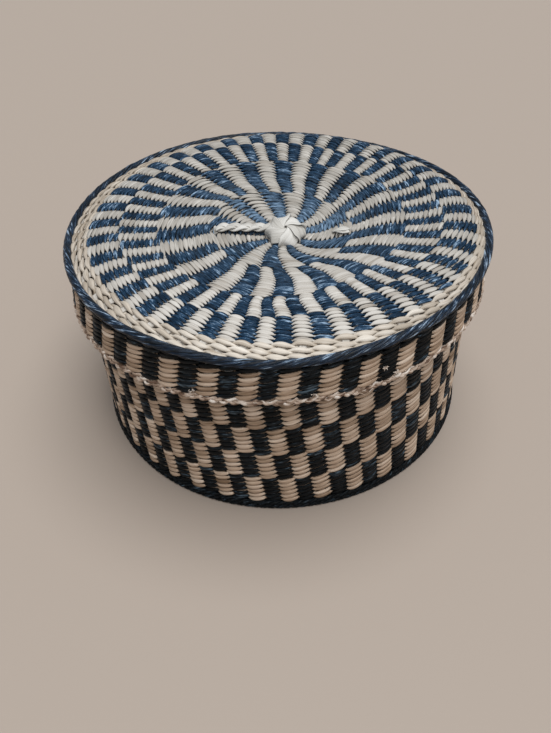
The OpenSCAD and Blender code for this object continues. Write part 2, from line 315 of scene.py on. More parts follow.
# The lid's edge hangs down at the back, with the spread in radians
DROOP = 2.4
DROOP_AT = math.radians(62)
DROOP_SPREAD = 0.8
DROOP_R = [64, 72]
DROOP_Z = [66, 70]
# The rope sinks at the front
ROPE_DIP = 1.3
ROPE_DIP_AT = 264
ROPE_DIP_SPREAD = 20


def drooped(a):
    """How far the lid's edge hangs down at the back."""
    return DROOP * near(apart(a, DROOP_AT), DROOP_SPREAD)


def on_skirt(angle, radius, z):
    """The lid's skirt, which flares, and dips and lifts a little along its lower edge."""
    right = SKIRT_RIGHT * near(turned_from(angle, SKIRT_RIGHT_AT), SKIRT_RIGHT_SPREAD)
    a = np.radians(angle + SKIRT_TURN + right + SKIRT_LEAN * (z - SKIRT_LEAN_Z))
    low = np.clip((SKIRT_LOW_Z - z) / SKIRT_LOW_H, 0, 1)
    lift = SKIRT_LIFT * near(apart(a, SKIRT_LIFT_AT), SKIRT_LIFT_SPREAD)
    wave = low * (waves(SKIRT_WAVES, a) + lift) - drooped(a) * rise(z, DROOP_Z)
    r = radius + low * (FLARE + waves(FLARE_WAVES, a))
    x = r * np.cos(a)
    return np.stack([x, r * np.sin(a), z + wave + TILT * x], -1), outwards(a)


def on_edge(angle, radius, z):
    """The lid's corded edge: it follows the skirt and sinks at the front, where the border shows whole."""
    dip = ROPE_DIP * near(turned_from(angle, ROPE_DIP_AT), ROPE_DIP_SPREAD)
    return on_skirt(angle, radius, z - dip)


# Shape of the lid: height of the middle of its weave at a radius, rounded at the shoulder
PROFILE_R = [0, 60.5, 67.45, 72.3, 90]
PROFILE_Z = [66.25, 74.0, 72.95, 71.0, 64.0]
PROFILE_STEP = 0.1
PROFILE_START = -20
ROUNDING_STEPS = 22.0
ROUNDING_REACH = 60
lid_r = np.arange(PROFILE_START, PROFILE_R[-1], PROFILE_STEP)
rounding = np.exp(-0.5 * (np.arange(-ROUNDING_REACH, ROUNDING_REACH + 1) / ROUNDING_STEPS) ** 2)
lid_z = np.convolve(np.interp(np.abs(lid_r), PROFILE_R, PROFILE_Z), rounding / rounding.sum(), "same")
lid_slope = np.gradient(lid_z, lid_r)

# Where the weave's centre lies. It is on the axis again at the edge, and its part towards the front fades
# sooner
CENTRE = (2.3, -1.5)
CENTRE_FADES = [66, 74]
CENTRE_FRONT = 1.3
CENTRE_FRONT_R = 60

# How the stakes curl: a swirl round the middle that is strongest at the right, and a step where new stakes
# start
SWIRL = -5.5
SWIRL_RIGHT = -16.0
SWIRL_AT = 335
SWIRL_SPREAD = 55
SWIRL_R = [11, 25]
STEP = -3.5
STEP_FADES = 9

# Soft bumps in the lid's weave: angle and its spread, radius and its spread, and the amount at the middle of
# the bump. It turns stakes in CURLS, moves courses outwards in SWELLS and lifts the lid in RISES
CURLS = [
    (168, 32, 25, 12, -14.0),
    (140, 42, 38, 13, -3.4),
    (318, 32, 22, 7, -4.5),
    (15, 35, 39, 6, 2.8),
    (5, 25, 70, 12, 4.0),
    (65, 25, 66, 15, -1.5),
    (240, 30, 38, 25, 1.2),
    (270, 15, 48, 5, -2.0)]
SWELLS = [
    (125, 30, 27, 7, 3.6),
    (124, 32, 51, 13, 5.0),
    (309, 33, 52, 14, -5.4),
    (60, 20, 58, 13, -2.8),
    (40, 30, 26, 8, -1.3),
    (0, 25, 42, 16, -1.2),
    (178, 20, 20, 8, 1.8),
    (185, 25, 62, 8, 1.3)]
SWELLS_END = [66, 72.5]
RISES = [
    (75, math.degrees(0.8), 65, 6, 0.6),
    (180, math.degrees(0.9), 64, 6, -0.5)]

# The dish waves a little between its centre and its shoulder
DISH_WAVES = [(2, 0.9, 0.25)]
DISH_WAVES_START = [0, 30]
DISH_WAVES_END = [60, 70]

# How far the courses part at the cord's holes, and over what length and width
HOLE_GAP = 0.95
HOLE_EDGE = 0.4
HOLE_LENGTH = 4.5
HOLE_WIDTH = 3.4

# Keeps a division by the radius possible at the centre
LEAST_R = 1e-6


def curled(angle, radius):
    """How far the lid's stakes are turned from even spacing, in degrees."""
    swirl = SWIRL + SWIRL_RIGHT * near(turned_from(angle, SWIRL_AT), SWIRL_SPREAD)
    step = STEP * (1 - smooth((radius - RING_R[1]) / STEP_FADES))
    step = np.where(radius > RING_R[1], step, 0)
    return swirl * (1 - rise(radius, SWIRL_R)) + step + bumps(CURLS, angle, radius)


def swollen(angle, radius):
    """How far the lid's courses lie outwards from true circles, in millimetres."""
    return (1 - rise(radius, SWELLS_END)) * bumps(SWELLS, angle, radius)


def on_lid(angle, radius, height):
    """The lid's dish: its weave is off centre, its stakes curl and its courses part at the cord's holes."""
    angle = angle + curled(angle, radius)
    radius = radius + swollen(angle, radius)
    a = np.radians(angle)
    inside = 1 - rise(radius, CENTRE_FADES)
    x = radius * np.cos(a) + CENTRE[0] * inside
    y = radius * np.sin(a) + CENTRE[1] * inside * np.clip(CENTRE_FRONT - radius / CENTRE_FRONT_R, 0, 1)
    for hole in np.radians(HOLES):
        along = x * math.cos(hole) + y * math.sin(hole) - HOLE_R
        across = y * math.cos(hole) - x * math.sin(hole)
        push = HOLE_GAP * np.tanh(along / HOLE_EDGE) * near(across, HOLE_WIDTH) * near(along, HOLE_LENGTH)
        x, y = x + push * math.cos(hole), y + push * math.sin(hole)
    r = np.hypot(x, y)
    z = np.interp(r, lid_r, lid_z) + TILT * x + bumps(RISES, angle, r) - drooped(a) * rise(r, DROOP_R)
    z = z + waves(DISH_WAVES, a) * rise(r, DISH_WAVES_START) * (1 - rise(r, DISH_WAVES_END))
    slope = np.interp(r, lid_r, lid_slope)
    r = np.maximum(r, LEAST_R)
    out = unit(np.stack([-slope * x / r, -slope * y / r, np.ones_like(r)], -1))
    return np.stack([x, y, z], -1) + height[:, None] * out, out


def on_base(angle, radius, height):
    """The basket's flat bottom."""
    a = np.radians(angle)
    p = np.stack([radius * np.cos(a) + FOOT_SHIFT, radius * np.sin(a), BASE_Z + height], -1)
    return p, np.broadcast_to([0.0, 0.0, 1.0], p.shape)


# Twining: a strand passes outside one stake and inside the next, and slants through the gap

# How square a strand's way over a stake is, how thin it gets between stakes, and how square its section is
STITCH_BEND = 0.45
STITCH_THIN = 0.78
STITCH_BOX = 0.7
# Unevenness: a stitch's height, its place as a part of a course's width, its width as a part of itself,
# and the tone of a whole strand
LIFT_UNEVEN = 0.06
DRIFT_UNEVEN = 0.045
WIDTH_UNEVEN = 0.07
STRAND_TONE = 0.35

# Stitches: points from stake to stake, sides of a strand, and whether it lies flat. slant, tip and wide are
# parts of a course's width. reach and thick are millimetres
WALL_STITCH = dict(samples=8, sides=6, flat=False, slant=0.24, tip=0.23)
BASE_STITCH = dict(samples=4, sides=5, flat=True, thick=0.48)
BASE_START_STITCH = dict(samples=8, sides=6, flat=True, thick=0.48)
RING_STITCH = dict(sides=8, flat=True, wide=0.56, shape=0.65, thick=0.32, section=FLAT)
BORDER_STITCH = dict(samples=8, sides=8, flat=True, slant=0.2, reach=0.68, thick=0.55, tip=0.24, wide=0.53,
                     uneven=2.0)
LID_START_STITCH = dict(samples=12, sides=8, flat=True)
RING_SAMPLES = [10, 10, 8, 8]


def course(surface, stakes, place, pitch, first, samples, sides, flat, slant=0.26, reach=0.7, thick=0.46,
           tip=0.13, wide=0.5, shape=0.9, uneven=1.0, fade=None, section=None):
    """One strand of one course. place is its radius if it is flat, or else its height."""
    n = len(stakes)
    s = np.arange(n * samples) / samples
    over = np.cos(np.pi * (s + first))
    between = np.sin(np.pi * (s + first))
    top = np.abs(over)
    stitch = np.floor(s + 0.5).astype(int) % n
    lift = reach * np.sign(over) * top ** STITCH_BEND + rng.normal(0, LIFT_UNEVEN, n)[stitch] * top
    drift = slant * pitch * between + uneven * pitch * rng.normal(0, DRIFT_UNEVEN, n)[stitch] * top
    half_w = pitch * (tip + (wide - tip) * top ** shape)
    half_w = half_w * (1 + uneven * rng.normal(0, WIDTH_UNEVEN, n)[stitch] * top)
    half_t = thick * (STITCH_THIN + (1 - STITCH_THIN) * top)
    angle = angle_at(s, stakes)
    if flat:
        p, out = surface(angle, place + drift, lift)
    else:
        p, out = surface(angle, upright_radius(surface) + lift, place + drift)
    tone = rng.normal(0, 1, n)[stitch] + rng.normal(0, STRAND_TONE)
    # Painted light at each point, from the mask that is given
    painted_light = 0.0 if fade is None else fade(p)
    return strand(p, out, half_w, half_t, True, sides, tone, painted_light, STITCH_BOX, section)


def upright_radius(surface):
    """Radius of the middle of the wall's or the skirt's weave."""
    return SKIRT_R if surface is on_skirt else WALL_R


def courses(surface, stakes, lo, hi, count, firsts, **stitch):
    """Courses side by side from lo to hi. firsts gives the phase of each strand that is wanted."""
    pitch = (hi - lo) / count
    return [course(surface, stakes, lo + (k + 0.5) * pitch, pitch, first, **stitch)
            for k in range(count) for first in firsts]


# Cords laid round the basket: turns and plies, how far a ply swings up and out, its half width and thickness,
# points in each turn, whether it twists, and its unevenness
RIM_PLAIT = dict(turns=48, plies=3, up=0.85, deep=0.5, half_w=0.72, half_t=0.5, samples=12, twist=False,
                 jitter=0.05)
FOOT_CORD = dict(turns=54, plies=3, half_w=0.6, half_t=0.44, samples=10, twist=True, jitter=0.04, sides=6)
EDGE_CORD = dict(turns=15, plies=7, up=0.98, deep=0.98, half_w=0.56, half_t=0.45, samples=28, twist=True,
                 jitter=0.09)
SKIRT_PLAIT = dict(turns=48, plies=3, up=0.52, deep=0.55, half_w=0.54, half_t=0.34, samples=16, twist=False,
                   jitter=0.26)
# Each cord of the foot: its distance from the wall, its height, and how far its plies swing
FOOT_CORDS = [(0.95, 1.05, 0.55), (0.75, 2.75, 0.55), (-1.0, 1.05, 0.5)]
# Places round a cord where its unevenness and its tone change
CORD_KNOTS = 180
CORD_TONES = 240


def loops(surface, radius, z, turns, plies, up, deep, half_w, half_t, samples, twist, jitter, sides=8):
    """A cord laid round the basket: plies that twist round each other, or plait when twist is false."""
    n = turns * samples
    s = np.arange(n) / n
    found = []
    for k in range(plies):
        phase = 2 * np.pi * (turns * s + k / plies)
        knots = rng.normal(0, jitter, CORD_KNOTS)
        drift = np.interp(s * CORD_KNOTS, np.arange(CORD_KNOTS + 1), np.r_[knots, knots[0]])
        out_by = deep * (np.cos(phase) if twist else np.sin(2 * phase))
        p, out = surface(360 * s, radius + out_by, z + up * np.sin(phase) + drift)
        if twist:
            out = np.cos(phase)[:, None] * out + np.sin(phase)[:, None] * np.array([0, 0, 1.0])
        tone = np.interp(s * CORD_TONES, np.arange(CORD_TONES + 1), rng.normal(0, 1, CORD_TONES + 1))
        found.append(strand(p, out, half_w, half_t, True, sides, tone))
    return found


# Keeps the last sample of a curve inside its last stretch
JUST_SHORT = 0.0001


def path_through(points, count):
    """A smooth curve through points, as evenly numbered samples."""
    p = np.asarray(points, float)
    stretches = len(p) - 1
    p = np.vstack([2 * p[0] - p[1], p, 2 * p[-1] - p[-2]])
    t = np.linspace(0, stretches - JUST_SHORT, count)
    i = t.astype(int)
    u = (t - i)[:, None]
    a, b, c, d = p[i], p[i + 1], p[i + 2], p[i + 3]
    bend = (2 * a - 5 * b + 4 * c - d) * u ** 2 + (3 * b - a - 3 * c + d) * u ** 3
    return 0.5 * (2 * b + (c - a) * u + bend)


# A plait: its strips, their sides, squareness and tone, the length over which its ends taper, and how steep
# a part of it counts as upright
PLAIT_STRIPS = 3
PLAIT_SIDES = 12
PLAIT_BOX = 0.5
PLAIT_TONE = 0.8
PLAIT_TAPER = 2
PLAIT_UPRIGHT = 0.7


def braid(points, turn, across, deep, half_w, half_t, side_way, samples=90, end=0.75):
    """A flat plait of three strips along a path. side_way is a level direction across it."""
    p = path_through(points, samples)
    way = unit(np.gradient(p, axis=0))
    side = np.broadcast_to(np.asarray(side_way, float), p.shape)
    up = unit(np.cross(side, way))
    up = np.where((up[:, 2:] < 0) & (np.abs(way[:, 2:]) < PLAIT_UPRIGHT), -up, up)
    run = np.r_[0, np.cumsum(np.linalg.norm(np.diff(p, axis=0), axis=1))]
    taper = np.minimum(1, end + (1 - end) * np.minimum(run, run[-1] - run) / PLAIT_TAPER)
    found = []
    for k in range(PLAIT_STRIPS):
        a = 2 * np.pi * (run / turn + k / PLAIT_STRIPS)
        q = p + side * (across * np.sin(a))[:, None] + up * (deep * np.sin(2 * a))[:, None]
        tone = rng.normal(0, PLAIT_TONE)
        found.append(strand(q, up, half_w * taper, half_t * taper, False, PLAIT_SIDES, tone, box=PLAIT_BOX))
    return found


# A loose fibre: its points, sides and tone, its thickness at both ends as parts of its radius, and a small
# step aside that gives it a normal
HAIR_SAMPLES = 7
HAIR_SIDES = 5
HAIR_TONE = 0.8
HAIR_ENDS = [1.05, 0.35]
HAIR_ASIDE = 0.01


def hair(start, way, length, radius, curl):
    """One loose fibre."""
    t = np.linspace(0, 1, HAIR_SAMPLES)[:, None]
    bend = unit(rng.normal(0, 1, 3))
    p = np.asarray(start) + np.asarray(way) * length * t + bend * curl * t ** 2
    out = np.broadcast_to(unit(np.cross(way, bend + HAIR_ASIDE)), p.shape)
    thin = radius * (HAIR_ENDS[0] + (HAIR_ENDS[1] - HAIR_ENDS[0]) * t[:, 0])
    return strand(p, out, thin, thin, False, HAIR_SIDES, HAIR_TONE)


# Materials

def linear(r, g, b):
    """A colour as seen on a screen, from 0 to 255, as linear light."""
    v = np.array([r, g, b]) / 255
    return (*np.where(v <= 0.04045, v / 12.92, ((v + 0.055) / 1.055) ** 2.4), 1.0)


# Where the colours of pale and of dark straw lie on a scale from 0 to 1. The dark straw's two highest colours
# are painted sheen and painted glints along its fibres
NATURAL_STOPS = (0.16, 0.5, 0.86)
DARK_AND_GLINT_STOPS = (0.2, 0.5, 0.67, 0.83)
# Detail and roughness of the fibres, and scale, detail, roughness and strength of broader patches
FIBRE_NOISE = (5.0, 0.65)
BROAD_SCALE = (0.1, 0.9, 0.9)
BROAD_NOISE = (2.0, 0.5)
BROAD = 0.5
# Painted light shows in fibres above a level, with a contrast: painted shade on pale straw, painted sheen on
# dark straw
PAINTED_LIGHT_FROM = 0.38
PAINTED_LIGHT_CONTRAST = 4.5
# How much the fibres change the roughness, and the height of their ridges in metres
ROUGH_SWING = 0.36
RIDGE = 0.0004


def straw(name, stops, rough, streak, bump, gloss, grain=0.13, fibres=2.8, tones=0.075, painted_light=None):
    """Straw with fibres along each strand, a tone for each stitch, and painted light where its mask is set:
    painted shade on pale straw, painted sheen on dark straw.
    """
    m = bpy.data.materials.new(name)
    m.use_nodes = True
    tree = m.node_tree
    add, join = tree.nodes.new, tree.links.new
    shader = tree.nodes["Principled BSDF"]

    def read(key):
        node = add("ShaderNodeAttribute")
        node.attribute_name = key
        return node

    def maths(kind, a, b):
        node = add("ShaderNodeMath")
        node.operation = kind
        for socket, value in zip(node.inputs, (a, b)):
            if isinstance(value, (int, float)):
                socket.default_value = value
            else:
                join(value, socket)
        return node.outputs[0]

    def noise(scale, detail, roughness):
        spread = add("ShaderNodeVectorMath")
        spread.operation = "MULTIPLY_ADD"
        join(read("fibre").outputs["Vector"], spread.inputs[0])
        spread.inputs[1].default_value = scale
        place = add("ShaderNodeCombineXYZ")
        for socket in place.inputs:
            join(read("seed").outputs["Fac"], socket)
        join(place.outputs[0], spread.inputs[2])
        node = add("ShaderNodeTexNoise")
        join(spread.outputs[0], node.inputs["Vector"])
        node.inputs["Scale"].default_value = 1.0
        node.inputs["Detail"].default_value = detail
        node.inputs["Roughness"].default_value = roughness
        return node.outputs[0]

    fine = noise((grain, fibres, fibres), *FIBRE_NOISE)
    broad = noise(BROAD_SCALE, *BROAD_NOISE)
    level = maths("ADD", maths("MULTIPLY", maths("SUBTRACT", fine, 0.5), streak), 0.5)
    level = maths("ADD", level, maths("MULTIPLY", maths("SUBTRACT", broad, 0.5), BROAD))
    level = maths("ADD", level, maths("MULTIPLY", read("tone").outputs["Fac"], tones))
    ramp = add("ShaderNodeValToRGB")
    places = NATURAL_STOPS if len(stops) == len(NATURAL_STOPS) else DARK_AND_GLINT_STOPS
    ends = ramp.color_ramp.elements
    ends[0].position, ends[1].position = places[0], places[-1]
    for place in places[1:-1]:
        ends.new(place)
    for end, stop in zip(ends, stops):
        end.color = linear(*stop)
    join(level, ramp.inputs[0])
    colour = ramp.outputs[0]
    # Painted light: the colour is mixed, streaked along the fibres, towards a painted shade colour on pale
    # straw and a painted sheen colour on dark straw
    if painted_light:
        mix = add("ShaderNodeMix")
        mix.data_type = "RGBA"
        streaks = maths("MULTIPLY", maths("SUBTRACT", fine, PAINTED_LIGHT_FROM), PAINTED_LIGHT_CONTRAST)
        streaks.node.use_clamp = True
        join(maths("MULTIPLY", read("fade").outputs["Fac"], streaks), mix.inputs[0])
        join(colour, mix.inputs[6])
        mix.inputs[7].default_value = painted_light
        colour = mix.outputs[2]
    join(colour, shader.inputs["Base Color"])
    dull = maths("SUBTRACT", rough + ROUGH_SWING / 2, maths("MULTIPLY", fine, ROUGH_SWING))
    join(dull, shader.inputs["Roughness"])
    ridge = add("ShaderNodeBump")
    ridge.inputs["Strength"].default_value = bump
    ridge.inputs["Distance"].default_value = RIDGE
    join(fine, ridge.inputs["Height"])
    join(ridge.outputs[0], shader.inputs["Normal"])
    shader.inputs["Specular IOR Level"].default_value = gloss
    return m


# The last colour is painted shade, laid on towards the back and sides of the lid
natural_top = straw(
    "natural_straw_top", [(142, 132, 120), (192, 187, 180), (218, 214, 208)],
    rough=0.55, streak=0.8, bump=0.3, gloss=0.2, painted_light=linear(129, 125, 118))
# The last colour is painted shade, laid on towards the back and sides of the lid
natural_border = straw(
    "natural_straw_border", [(150, 136, 118), (201, 191, 178), (230, 223, 213)],
    rough=0.48, streak=0.8, bump=0.3, gloss=0.35, painted_light=linear(116, 99, 79))
natural_wall = straw(
    "natural_straw_wall", [(122, 98, 76), (182, 158, 136), (224, 206, 188)],
    rough=0.5, streak=0.85, bump=0.3, gloss=0.3, tones=0.11)
# The two highest ramp colours are painted sheen and painted glints along the fibres, and the last colour is
# the painted sheen of the patches near the centre
navy_top = straw(
    "navy_straw_top", [(4, 15, 26), (19, 44, 66), (42, 70, 97), (150, 174, 197)],
    rough=0.4, streak=1.55, bump=0.8, gloss=0.1, grain=0.35, fibres=2.0, painted_light=linear(122, 148, 174))
# The two highest colours are painted sheen and painted glints along the fibres
navy_wall = straw(
    "navy_straw_wall", [(1, 2, 3), (6, 10, 13), (15, 24, 31), (80, 96, 108)],
    rough=0.4, streak=1.45, bump=0.8, gloss=0.14, grain=0.3, fibres=2.0)
# The two highest colours are painted sheen and painted glints along the fibres
navy_rope = straw(
    "navy_straw_rope", [(0, 6, 12), (11, 27, 43), (30, 53, 78), (160, 180, 200)],
    rough=0.33, streak=1.8, bump=0.8, gloss=0.28, grain=0.16, fibres=2.0)
cream = straw(
    "cream_leaf", [(140, 136, 128), (194, 191, 185), (220, 218, 214)],
    rough=0.5, streak=0.6, bump=0.25, gloss=0.3)
edge_straw = straw(
    "edge_straw", [(104, 80, 64), (184, 162, 144), (228, 219, 210)],
    rough=0.42, streak=1.6, bump=0.5, gloss=0.35, grain=0.3, fibres=1.6, tones=0.22)


# The basket

# Phases of the two strands of a course
BOTH = [0, 1]
wall_stakes = stake_angles(WALL_STAKES, WALL_SWAY)
lid_stakes = stake_angles(LID_STAKES, LID_SWAY)


def slot_of(colour):
    """Name of the material slot of a strand's colour."""
    return "natural_straw" if colour == "natural" else "navy_straw"


for band in range(1, WALL_BANDS + 1):
    lo, hi = span(f"wall_band_{band}_natural")
    for colour, first, material in (("natural", band % 2, natural_wall), ("dark", (band + 1) % 2, navy_wall)):
        node = f"wall_band_{band}_{colour}"
        made = courses(on_wall, wall_stakes, lo, hi + BAND_LAP, BAND_COURSES, [first], **WALL_STITCH)
        piece(f"weave_{node}", made, material, "basket", slot_of(colour), node)

lo, hi = span("rim_courses")
made = courses(on_wall, wall_stakes, lo, hi, EDGE_COURSES, BOTH, **WALL_STITCH)
piece("rim_twine", made, navy_wall, "basket", "navy_straw", "rim_courses")
lo, hi = span("rim_border")
made = loops(on_wall, WALL_R, (lo + hi) / 2, **RIM_PLAIT)
piece("rim_plait", made, natural_wall, "basket", "natural_straw", "rim_border")

made = []
for out_by, z, swing in FOOT_CORDS:
    made += loops(on_wall, WALL_R + out_by, z, up=swing, deep=swing, **FOOT_CORD)
piece("foot_twine", made, navy_wall, "basket", "navy_straw", "foot_edge")

made = courses(on_base, wall_stakes[::2], BASE_R[1], BASE_R[2], BASE_COURSES[1], BOTH, **BASE_STITCH)
piece("base_weave_1", made, natural_wall, "basket", "natural_straw", "base_ring_1")
made = courses(on_base, wall_stakes, BASE_R[2], BASE_R[3], BASE_COURSES[2], BOTH, **BASE_STITCH)
piece("base_weave_2", made, natural_wall, "basket", "natural_straw", "base_ring_2")
start_stakes = stake_angles(BASE_START_STAKES, BASE_START_SWAY)
made = courses(on_base, start_stakes, BASE_R[0], BASE_R[1], BASE_COURSES[0], BOTH, **BASE_START_STITCH)
piece("base_weave_start", made, natural_wall, "basket", "natural_straw", "base_start")

# Stakes: half width and thickness, sides, and ends and points of their flat and upright parts. Every second
# one of the wall's starts at BASE_STAKE_R
STAKE_W = 1.3
STAKE_T = 0.3
STAKE_SIDES = 6
BASE_STAKE_R = 10.6
BASE_STAKE_END = WALL_R - 1
BASE_STAKE_SAMPLES = 12
WALL_STAKE_Z = BASE_Z + 1
WALL_STAKE_SAMPLES = 22

made = []
for k, a in enumerate(wall_stakes):
    r = np.linspace(BASE_STAKE_R if k % 2 == 0 else BASE_R[2], BASE_STAKE_END, BASE_STAKE_SAMPLES)
    z = np.linspace(WALL_STAKE_Z, span("rim_border")[0], WALL_STAKE_SAMPLES)
    flat_p, flat_out = on_base(np.full_like(r, a), r, np.zeros_like(r))
    wall_p, wall_out = on_wall(np.full_like(z, a), np.full_like(z, WALL_R), z)
    p, out = np.vstack([flat_p, wall_p]), np.vstack([-flat_out, wall_out])
    made.append(strand(p, out, STAKE_W, STAKE_T, False, STAKE_SIDES, rng.normal(0, 1)))
piece("wall_stake_strips", made, natural_wall, "basket", "natural_straw", "basket_stakes")


# The lid

# Patches of painted sheen on the dark straw: place, spread as the square of a distance, and strength
SHEEN_PATCHES = [(-11, 14, 120, 0.75), (2, 12, 90, 0.35), (16, 2, 150, 0.65), (0, 0, 900, 0.25)]
# Painted shade on the natural straw, darker from the front backwards and from the middle to the sides
SHADE_DEPTH = 0.85
SHADE_FRONT = [5, 50]
SHADE_SIDE = 0.7
SHADE_SIDES = [15, 60]


def faded(p):
    """Painted sheen on the dark straw: strongest near the centre, at the back left and at the right."""
    x, y = p[:, 0], p[:, 1]
    painted_light = [much * np.exp(-((x - at_x) ** 2 + (y - at_y) ** 2) / spread) for at_x, at_y, spread, much in SHEEN_PATCHES]
    return np.clip(sum(painted_light), 0, 1)


def painted_shade(p):
    """Painted shade on the natural straw: the lid is palest at the middle of its front, and darker towards
    the back and the sides.
    """
    back = 1 - rise(-p[:, 1], SHADE_FRONT)
    side = SHADE_SIDE * rise(np.abs(p[:, 0]), SHADE_SIDES)
    return SHADE_DEPTH * np.maximum(back, side)


# The rings' natural straw gets painted shade and their dark straw painted sheen, each through its mask
for ring in range(len(RING_STAKES)):
    stakes = lid_stakes[:: LID_STAKES // RING_STAKES[ring]]
    for colour, first, material, painted_light_of in (("natural", RING_FIRST[ring], natural_top, painted_shade),
                                          ("dark", 1 - RING_FIRST[ring], navy_top, faded)):
        node = f"lid_ring_{ring + 1}_{colour}"
        made = courses(on_lid, stakes, RING_R[ring], RING_R[ring + 1], RING_COURSES[ring], [first],
                       samples=RING_SAMPLES[ring], fade=painted_light_of, **RING_STITCH)
        piece(f"weave_{node}", made, material, "lid", slot_of(colour), node)

# The border gets the same painted shade
made = courses(on_lid, lid_stakes, *BORDER_R, BORDER_COURSES, BOTH, fade=painted_shade, **BORDER_STITCH)
piece("lid_border_twine", made, natural_border, "lid", "natural_straw", "lid_border")
start_stakes = stake_angles(LID_START_STAKES, LID_START_SWAY)
made = courses(on_lid, start_stakes, LID_START_R, RING_R[0], START_COURSES, BOTH, **LID_START_STITCH)
piece("lid_weave_start", made, natural_top, "lid", "natural_straw", "lid_start")

made = loops(on_edge, ROPE_R, ROPE_Z, **EDGE_CORD)
piece("edge_rope", made, navy_rope, "lid", "navy_straw", "lid_edge_rope")

lo, hi = span("skirt_courses")
made = courses(on_skirt, lid_stakes, lo, hi + SKIRT_LAP, EDGE_COURSES, BOTH, **WALL_STITCH)
piece("skirt_twine", made, navy_wall, "lid", "navy_straw", "skirt_courses")
lo, hi = span("skirt_band_natural")
for colour, first, material in (("natural", 0, natural_wall), ("dark", 1, navy_wall)):
    node = f"skirt_band_{colour}"
    made = courses(on_skirt, lid_stakes, lo, hi + BAND_LAP, BAND_COURSES, [first], **WALL_STITCH)
    piece(f"weave_{node}", made, material, "lid", slot_of(colour), node)

# The skirt's plaited edge: how far out and up from the solid's middle it lies, and its loose fibres
PLAIT_OUT = 0.6
PLAIT_UP = 0.35
FRAYS = 90
FRAY_OUT = 0.9
FRAY_UP = [-0.5, 0.7]
FRAY_AWAY = [0.1, 0.5]
FRAY_RISE = [-0.5, 0.6]
FRAY_LENGTH = [0.9, 2.6]
FRAY_R = [0.08, 0.2]
FRAY_CURL = 0.5
# Frayed places on the skirt: angle, height and number of fibres, and then how their fibres lie
TUFTS = [(294, 61.6, 14), (276, 57.8, 8), (298, 58.0, 9), (247, 57.6, 6)]
TUFT_OUT = 1.0
TUFT_TURN = 0.3
TUFT_RISE = 0.25
TUFT_WAY = 0.8
TUFT_LENGTH = [0.35, 0.8]
TUFT_R = [0.12, 0.24]
TUFT_CURL = 0.5


def spot_on_skirt(angle, out_by, z):
    """One point of the skirt, and the direction out of it."""
    p, out = on_skirt(np.array([angle]), np.array([SKIRT_R + out_by]), np.array([z]))
    return p[0], out[0]


lo, hi = span("skirt_border")
plait_z = (lo + hi) / 2
made = loops(on_skirt, SKIRT_R + PLAIT_OUT, plait_z + PLAIT_UP, **SKIRT_PLAIT)
for a in rng.uniform(0, 360, FRAYS):
    p, out = spot_on_skirt(a, FRAY_OUT, plait_z + rng.uniform(*FRAY_UP))
    along = np.array([-out[1], out[0], 0]) * rng.choice([-1, 1])
    way = along + out * rng.uniform(*FRAY_AWAY) + np.array([0, 0, rng.uniform(*FRAY_RISE)])
    made.append(hair(p, unit(way), rng.uniform(*FRAY_LENGTH), rng.uniform(*FRAY_R), FRAY_CURL))
for a, z, count in TUFTS:
    for k in range(count):
        p, out = spot_on_skirt(a + rng.normal(0, TUFT_TURN), TUFT_OUT, z + rng.normal(0, TUFT_RISE))
        way = unit(out + rng.normal(0, TUFT_WAY, 3))
        made.append(hair(p, way, rng.uniform(*TUFT_LENGTH), rng.uniform(*TUFT_R), TUFT_CURL))
piece("skirt_plait", made, edge_straw, "lid", "cream_straw", "skirt_border")

# The lid's stakes: where they start and end, how they narrow to the centre, and their points. Every fourth
# one has an inner part, and every second one starts at OUTER_STAKE
INNER_EVERY = LID_STAKES // RING_STAKES[0]
OUTER_EVERY = LID_STAKES // RING_STAKES[1]
INNER_STAKE = [RING_R[0] - 1.4, RING_R[1] - 0.5]
OUTER_STAKE = RING_R[1] + 0.5
LID_STAKE_END = SKIRT_R - 1.2
STAKE_NARROWS = 0.09
INNER_SAMPLES = 12
OUTER_SAMPLES = 26
SKIRT_STAKE_Z = 69.6
SKIRT_STAKE_SAMPLES = 10

made = []
for k, a in enumerate(lid_stakes):
    if k % INNER_EVERY == 0:
        r = np.linspace(*INNER_STAKE, INNER_SAMPLES)
        p, out = on_lid(np.full_like(r, a), r, np.zeros_like(r))
        width = np.minimum(STAKE_W, STAKE_NARROWS * r)
        made.append(strand(p, out, width, STAKE_T, False, STAKE_SIDES, rng.normal(0, 1)))
    r = np.linspace(OUTER_STAKE if k % OUTER_EVERY == 0 else RING_R[2], LID_STAKE_END, OUTER_SAMPLES)
    z = np.linspace(SKIRT_STAKE_Z, span("skirt_border")[1], SKIRT_STAKE_SAMPLES)
    flat_p, flat_out = on_lid(np.full_like(r, a), r, np.zeros_like(r))
    skirt_p, skirt_out = on_skirt(np.full_like(z, a), np.full_like(z, SKIRT_R), z)
    p, out = np.vstack([flat_p, skirt_p]), np.vstack([flat_out, skirt_out])
    width = np.r_[np.minimum(STAKE_W, STAKE_NARROWS * r), np.full_like(z, STAKE_W)]
    made.append(strand(p, out, width, STAKE_T, False, STAKE_SIDES, rng.normal(0, 1)))
piece("lid_stake_strips", made, natural_top, "lid", "natural_straw", "lid_stakes")


# The grip: a button of folded strips, its plaited cord and the cord's ends

SEAT = span("handle_knot")[0]
KNOT_R = 6.0
KNOT_H = 3.3
KNOT_LEAN = math.radians(17)
KNOT_AT = np.array([3.2, -3.6, SEAT + 0.5])

# A leaf's way from the knot's side over its edge to the middle: outwards as a part of the knot's radius,
# up as a part of its height, and aside as a part of the leaf's twist
LEAF_OUT = np.array([0.94, 1.02, 0.96, 0.6, 0.12, -0.3])
LEAF_UP = np.array([-0.12, 0.3, 0.74, 1.0, 1.04, 0.8])
LEAF_ASIDE = np.array([-0.8, -0.6, -0.1, 0.7, 1.0, 1.0])
